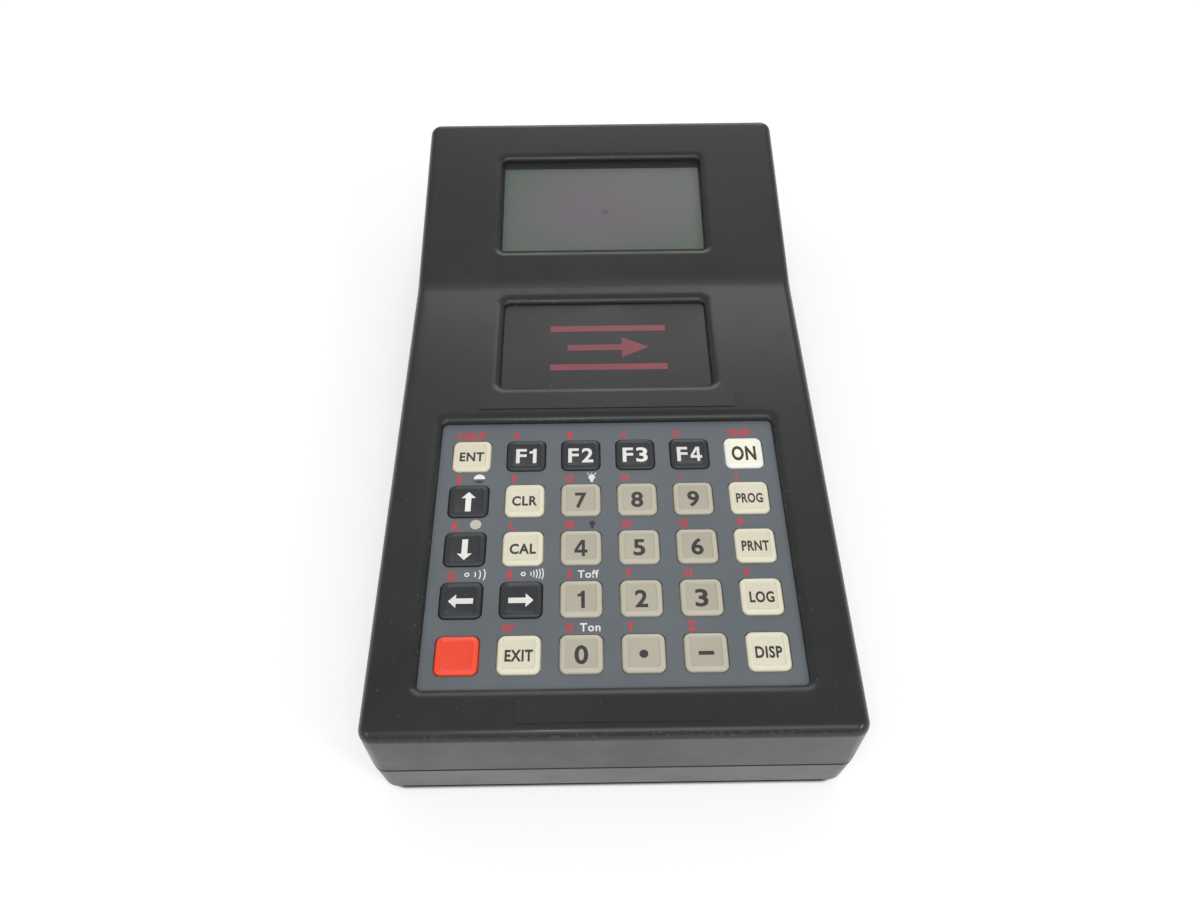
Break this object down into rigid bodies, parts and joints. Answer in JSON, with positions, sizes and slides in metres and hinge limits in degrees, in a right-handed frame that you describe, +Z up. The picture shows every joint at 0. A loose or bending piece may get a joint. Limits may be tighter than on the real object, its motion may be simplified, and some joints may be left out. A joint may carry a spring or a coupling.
{
  "type": "ultrasonic flow meter",
  "caption": "Hand-held battery ultrasonic flow meter: flat two-shell case with a tilted display end, a pad of separate press keys, a battery bay underneath and sockets in the far end.",
  "frame": {"origin": "on the floor that the rubber feet stand on, under the middle of the case", "axes": "+Y to the display end along the case, +Z up out of the keypad, +X to the right of a person who reads the display"},
  "size_m": [0.13, 0.24, 0.0501],
  "materials": {
    "case_upper": "fine moulded texture",
    "case_lower": "fine moulded texture",
    "seal": "matte",
    "window": "clear polished window",
    "lcd_frame": "matte",
    "lcd_glass": "grey-green liquid crystal",
    "backlight": "satin diffuser",
    "lcd_board": "solder mask",
    "badge": "satin film",
    "label_upper": "satin film",
    "label_lower": "satin film",
    "keypad_panel": "satin blue-grey",
    "spacer": "matte",
    "domes": "pressed",
    "keypad_board": "solder mask",
    "tail": "polyimide film",
    "main_board": "solder mask",
    "board_parts": "moulded packages",
    "screws_small": "zinc plated",
    "cable": "flat ribbon",
    "battery": "shrink wrap",
    "contacts": "plated",
    "battery_cover": "fine moulded texture",
    "screws_cover": "zinc plated",
    "screws_case": "dark zinc",
    "feet": "matte",
    "sockets": "nickel plated",
    "nuts": "nickel plated",
    "jack": "moulded",
    "data_socket": "satin nickel",
    "key_enter": "satin",
    "key_f1": "satin",
    "key_f2": "satin",
    "key_f3": "satin",
    "key_f4": "satin",
    "key_on": "satin",
    "key_up": "satin",
    "key_clear": "satin",
    "key_7": "satin",
    "key_8": "satin",
    "key_9": "satin",
    "key_program": "satin",
    "key_down": "satin",
    "key_calibrate": "satin",
    "key_4": "satin",
    "key_5": "satin",
    "key_6": "satin",
    "key_print": "satin",
    "key_left": "satin",
    "key_right": "satin",
    "key_1": "satin",
    "key_2": "satin",
    "key_3": "satin",
    "key_log": "satin",
    "key_red": "satin",
    "key_exit": "satin",
    "key_0": "satin",
    "key_point": "satin",
    "key_minus": "satin",
    "key_display": "satin"
  },
  "bodies": {
    "case": {"top_case": "case_upper", "bottom_case": "case_lower", "case_seal": "seal", "display_window": "window", "lcd_frame": "lcd_frame", "lcd_glass": "lcd_glass", "lcd_backlight": "backlight", "lcd_board": "lcd_board", "badge_plate": "badge", "upper_label": "label_upper", "lower_label": "label_lower", "keypad_overlay": "keypad_panel", "keypad_spacer": "spacer", "snap_domes": "domes", "keypad_board": "keypad_board", "keypad_tail": "tail", "main_board": "main_board", "board_parts": "board_parts", "board_screws": "screws_small", "display_cable": "cable", "battery_pack": "battery", "battery_contacts": "contacts", "battery_cover": "battery_cover", "cover_screws": "screws_cover", "case_screws": "screws_case", "rubber_feet": "feet", "transducer_sockets": "sockets", "socket_nuts": "nuts", "power_jack": "jack", "data_socket": "data_socket"},
    "key_enter": {"key_enter": "key_enter"},
    "key_f1": {"key_f1": "key_f1"},
    "key_f2": {"key_f2": "key_f2"},
    "key_f3": {"key_f3": "key_f3"},
    "key_f4": {"key_f4": "key_f4"},
    "key_on": {"key_on": "key_on"},
    "key_up": {"key_up": "key_up"},
    "key_clear": {"key_clear": "key_clear"},
    "key_7": {"key_7": "key_7"},
    "key_8": {"key_8": "key_8"},
    "key_9": {"key_9": "key_9"},
    "key_program": {"key_program": "key_program"},
    "key_down": {"key_down": "key_down"},
    "key_calibrate": {"key_calibrate": "key_calibrate"},
    "key_4": {"key_4": "key_4"},
    "key_5": {"key_5": "key_5"},
    "key_6": {"key_6": "key_6"},
    "key_print": {"key_print": "key_print"},
    "key_left": {"key_left": "key_left"},
    "key_right": {"key_right": "key_right"},
    "key_1": {"key_1": "key_1"},
    "key_2": {"key_2": "key_2"},
    "key_3": {"key_3": "key_3"},
    "key_log": {"key_log": "key_log"},
    "key_red": {"key_red": "key_red"},
    "key_exit": {"key_exit": "key_exit"},
    "key_0": {"key_0": "key_0"},
    "key_point": {"key_point": "key_point"},
    "key_minus": {"key_minus": "key_minus"},
    "key_display": {"key_display": "key_display"}
  },
  "joints": [
    {"name": "press_enter", "type": "slide", "parent": "case", "child": "key_enter", "axis": [0, 0, -1], "range_m": [0, 0.0006], "stiffness_N_per_m": 2000, "springref_m": -0.0005},
    {"name": "press_f1", "type": "slide", "parent": "case", "child": "key_f1", "axis": [0, 0, -1], "range_m": [0, 0.0006], "stiffness_N_per_m": 2000, "springref_m": -0.0005},
    {"name": "press_f2", "type": "slide", "parent": "case", "child": "key_f2", "axis": [0, 0, -1], "range_m": [0, 0.0006], "stiffness_N_per_m": 2000, "springref_m": -0.0005},
    {"name": "press_f3", "type": "slide", "parent": "case", "child": "key_f3", "axis": [0, 0, -1], "range_m": [0, 0.0006], "stiffness_N_per_m": 2000, "springref_m": -0.0005},
    {"name": "press_f4", "type": "slide", "parent": "case", "child": "key_f4", "axis": [0, 0, -1], "range_m": [0, 0.0006], "stiffness_N_per_m": 2000, "springref_m": -0.0005},
    {"name": "press_on", "type": "slide", "parent": "case", "child": "key_on", "axis": [0, 0, -1], "range_m": [0, 0.0006], "stiffness_N_per_m": 2000, "springref_m": -0.0005},
    {"name": "press_up", "type": "slide", "parent": "case", "child": "key_up", "axis": [0, 0, -1], "range_m": [0, 0.0006], "stiffness_N_per_m": 2000, "springref_m": -0.0005},
    {"name": "press_clear", "type": "slide", "parent": "case", "child": "key_clear", "axis": [0, 0, -1], "range_m": [0, 0.0006], "stiffness_N_per_m": 2000, "springref_m": -0.0005},
    {"name": "press_7", "type": "slide", "parent": "case", "child": "key_7", "axis": [0, 0, -1], "range_m": [0, 0.0006], "stiffness_N_per_m": 2000, "springref_m": -0.0005},
    {"name": "press_8", "type": "slide", "parent": "case", "child": "key_8", "axis": [0, 0, -1], "range_m": [0, 0.0006], "stiffness_N_per_m": 2000, "springref_m": -0.0005},
    {"name": "press_9", "type": "slide", "parent": "case", "child": "key_9", "axis": [0, 0, -1], "range_m": [0, 0.0006], "stiffness_N_per_m": 2000, "springref_m": -0.0005},
    {"name": "press_program", "type": "slide", "parent": "case", "child": "key_program", "axis": [0, 0, -1], "range_m": [0, 0.0006], "stiffness_N_per_m": 2000, "springref_m": -0.0005},
    {"name": "press_down", "type": "slide", "parent": "case", "child": "key_down", "axis": [0, 0, -1], "range_m": [0, 0.0006], "stiffness_N_per_m": 2000, "springref_m": -0.0005},
    {"name": "press_calibrate", "type": "slide", "parent": "case", "child": "key_calibrate", "axis": [0, 0, -1], "range_m": [0, 0.0006], "stiffness_N_per_m": 2000, "springref_m": -0.0005},
    {"name": "press_4", "type": "slide", "parent": "case", "child": "key_4", "axis": [0, 0, -1], "range_m": [0, 0.0006], "stiffness_N_per_m": 2000, "springref_m": -0.0005},
    {"name": "press_5", "type": "slide", "parent": "case", "child": "key_5", "axis": [0, 0, -1], "range_m": [0, 0.0006], "stiffness_N_per_m": 2000, "springref_m": -0.0005},
    {"name": "press_6", "type": "slide", "parent": "case", "child": "key_6", "axis": [0, 0, -1], "range_m": [0, 0.0006], "stiffness_N_per_m": 2000, "springref_m": -0.0005},
    {"name": "press_print", "type": "slide", "parent": "case", "child": "key_print", "axis": [0, 0, -1], "range_m": [0, 0.0006], "stiffness_N_per_m": 2000, "springref_m": -0.0005},
    {"name": "press_left", "type": "slide", "parent": "case", "child": "key_left", "axis": [0, 0, -1], "range_m": [0, 0.0006], "stiffness_N_per_m": 2000, "springref_m": -0.0005},
    {"name": "press_right", "type": "slide", "parent": "case", "child": "key_right", "axis": [0, 0, -1], "range_m": [0, 0.0006], "stiffness_N_per_m": 2000, "springref_m": -0.0005},
    {"name": "press_1", "type": "slide", "parent": "case", "child": "key_1", "axis": [0, 0, -1], "range_m": [0, 0.0006], "stiffness_N_per_m": 2000, "springref_m": -0.0005},
    {"name": "press_2", "type": "slide", "parent": "case", "child": "key_2", "axis": [0, 0, -1], "range_m": [0, 0.0006], "stiffness_N_per_m": 2000, "springref_m": -0.0005},
    {"name": "press_3", "type": "slide", "parent": "case", "child": "key_3", "axis": [0, 0, -1], "range_m": [0, 0.0006], "stiffness_N_per_m": 2000, "springref_m": -0.0005},
    {"name": "press_log", "type": "slide", "parent": "case", "child": "key_log", "axis": [0, 0, -1], "range_m": [0, 0.0006], "stiffness_N_per_m": 2000, "springref_m": -0.0005},
    {"name": "press_red", "type": "slide", "parent": "case", "child": "key_red", "axis": [0, 0, -1], "range_m": [0, 0.0006], "stiffness_N_per_m": 2000, "springref_m": -0.0005},
    {"name": "press_exit", "type": "slide", "parent": "case", "child": "key_exit", "axis": [0, 0, -1], "range_m": [0, 0.0006], "stiffness_N_per_m": 2000, "springref_m": -0.0005},
    {"name": "press_0", "type": "slide", "parent": "case", "child": "key_0", "axis": [0, 0, -1], "range_m": [0, 0.0006], "stiffness_N_per_m": 2000, "springref_m": -0.0005},
    {"name": "press_point", "type": "slide", "parent": "case", "child": "key_point", "axis": [0, 0, -1], "range_m": [0, 0.0006], "stiffness_N_per_m": 2000, "springref_m": -0.0005},
    {"name": "press_minus", "type": "slide", "parent": "case", "child": "key_minus", "axis": [0, 0, -1], "range_m": [0, 0.0006], "stiffness_N_per_m": 2000, "springref_m": -0.0005},
    {"name": "press_display", "type": "slide", "parent": "case", "child": "key_display", "axis": [0, 0, -1], "range_m": [0, 0.0006], "stiffness_N_per_m": 2000, "springref_m": -0.0005}
  ]
}
